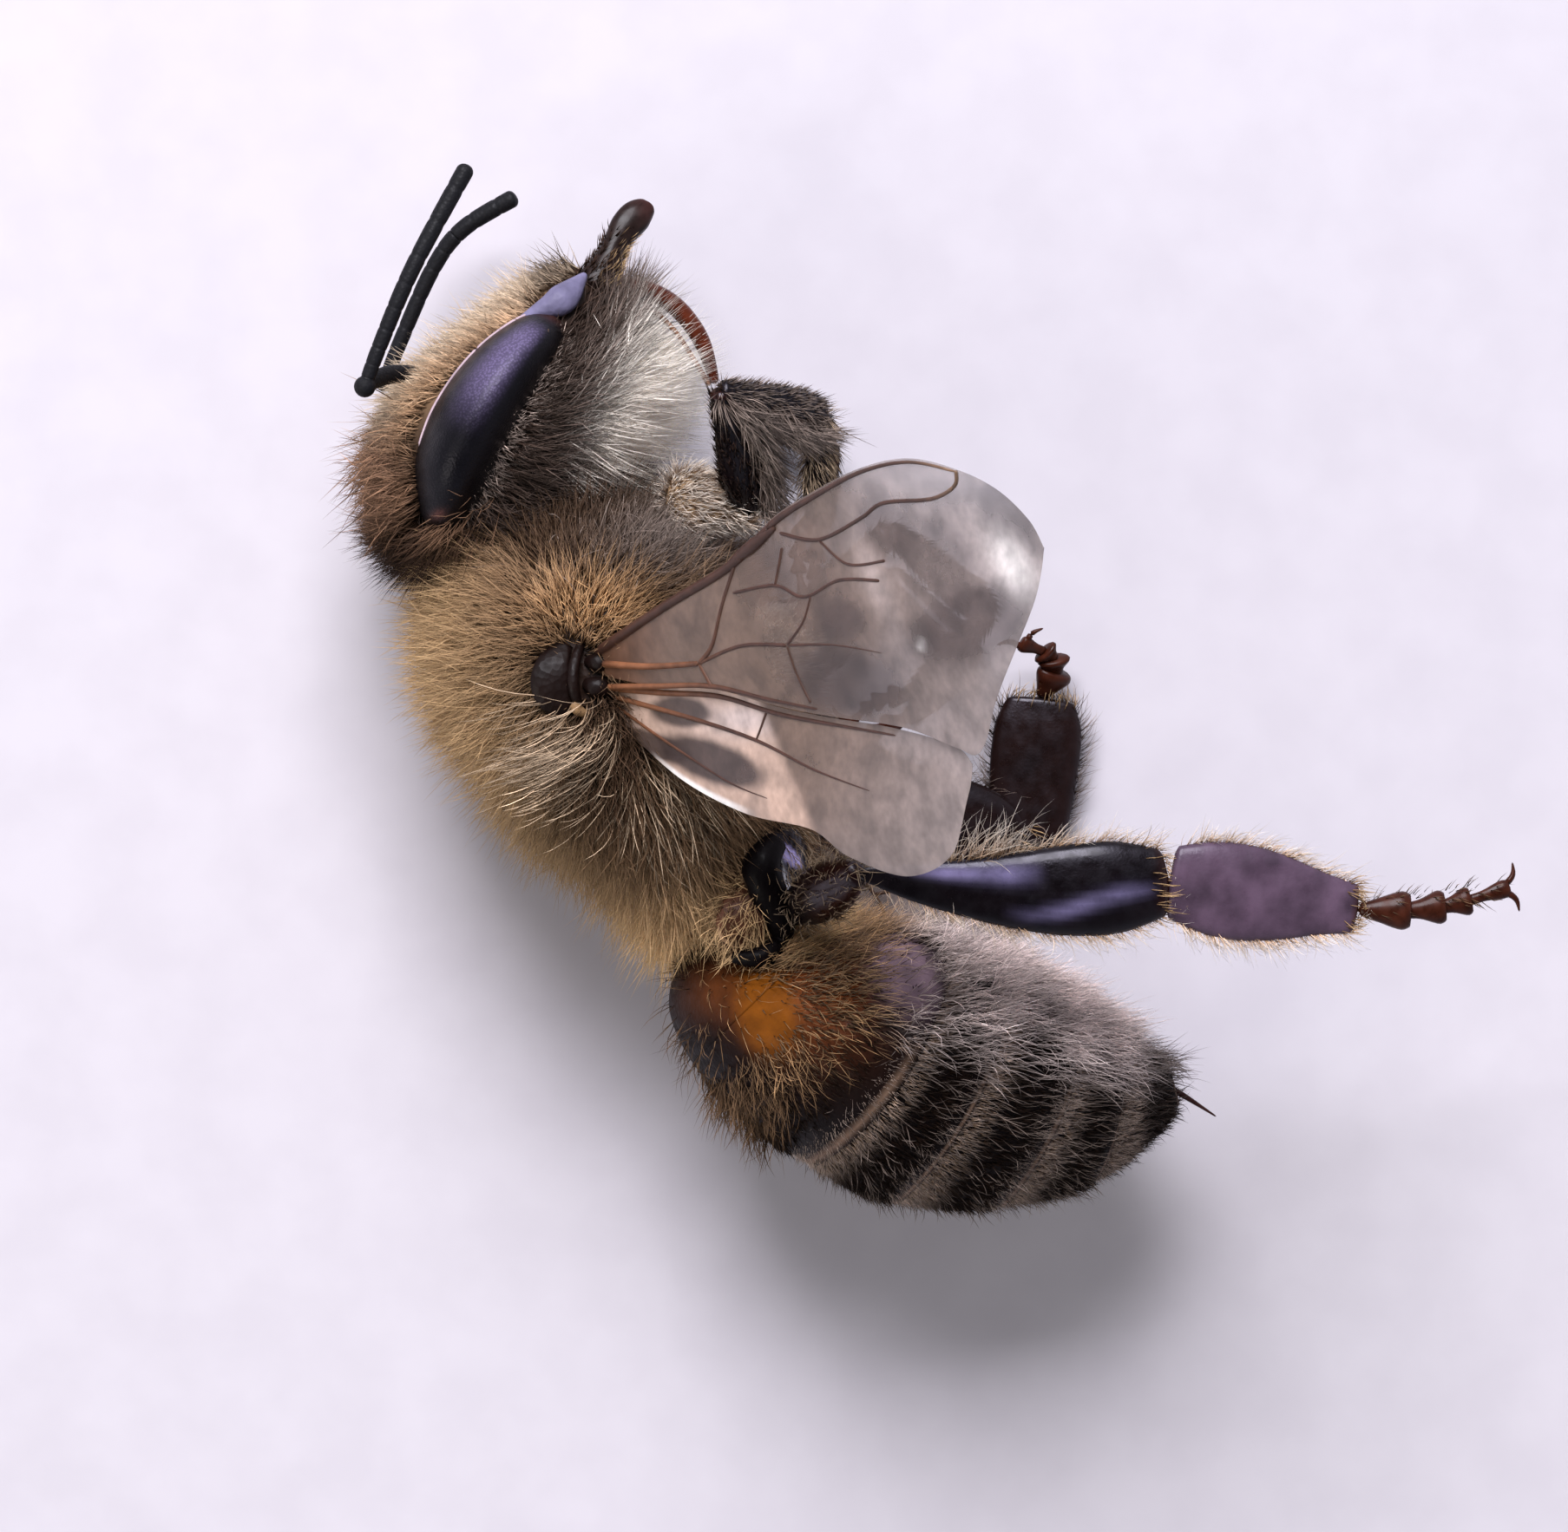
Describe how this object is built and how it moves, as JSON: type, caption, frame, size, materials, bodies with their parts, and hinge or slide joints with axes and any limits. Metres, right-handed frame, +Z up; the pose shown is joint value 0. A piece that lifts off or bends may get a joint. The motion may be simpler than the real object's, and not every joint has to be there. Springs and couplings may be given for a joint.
{
  "type": "honey bee",
  "caption": "Life-size worker honey bee lying curled on its left side, right wings raised and hind leg outstretched, with furry thorax, banded abdomen and sting.",
  "frame": {"origin": "on the floor the bee lies on, under the middle of its box", "axes": "+Z up and out of the bee's right flank; +X from the feelers towards the outstretched right hind foot; +Y towards the tips of the mandibles"},
  "size_m": [0.0122, 0.011, 0.0113],
  "materials": {
    "coat": "matte short fur, golden tan over brown skin",
    "shell": "satin black-brown horn with pale hair bands, amber on the second ring",
    "eye": "near-black, finely faceted, with a violet sheen",
    "horn": "polished near-black horn with a violet sheen",
    "amber_horn": "glossy red-brown horn",
    "membrane": "clear smoky film with raised brown veins"
  },
  "bodies": {
    "root": {"abdomen_1": "shell", "abdomen_2": "shell", "abdomen_3": "shell", "abdomen_4": "shell", "abdomen_5": "shell", "abdomen_6": "shell", "collar": "coat", "eye_left": "eye", "eye_right": "eye", "flagellum_left": "horn", "flagellum_right": "horn", "fore_left_basitarsus": "horn", "fore_left_coxa": "horn", "fore_left_femur": "horn", "fore_left_tarsus": "horn", "fore_left_tibia": "horn", "fore_right_basitarsus": "horn", "fore_right_coxa": "horn", "fore_right_femur": "horn", "fore_right_tarsus": "horn", "fore_right_tibia": "horn", "forewing_left": "membrane", "forewing_right": "membrane", "head": "coat", "hind_left_basitarsus": "horn", "hind_left_coxa": "horn", "hind_left_femur": "horn", "hind_left_tarsus": "horn", "hind_left_tibia": "horn", "hind_right_basitarsus": "horn", "hind_right_coxa": "horn", "hind_right_femur": "horn", "hind_right_tarsus": "horn", "hind_right_tibia": "horn", "hindwing_left": "membrane", "hindwing_right": "membrane", "mandible_left": "amber_horn", "mandible_right": "amber_horn", "middle_left_basitarsus": "horn", "middle_left_coxa": "horn", "middle_left_femur": "horn", "middle_left_tarsus": "horn", "middle_left_tibia": "horn", "middle_right_basitarsus": "horn", "middle_right_coxa": "horn", "middle_right_femur": "horn", "middle_right_tarsus": "horn", "middle_right_tibia": "horn", "scape_left": "horn", "scape_right": "horn", "sting": "horn", "tegula_left": "horn", "tegula_right": "horn", "thorax": "coat", "tongue": "amber_horn", "upper_lip": "horn", "waist": "coat"}
  },
  "joints": []
}
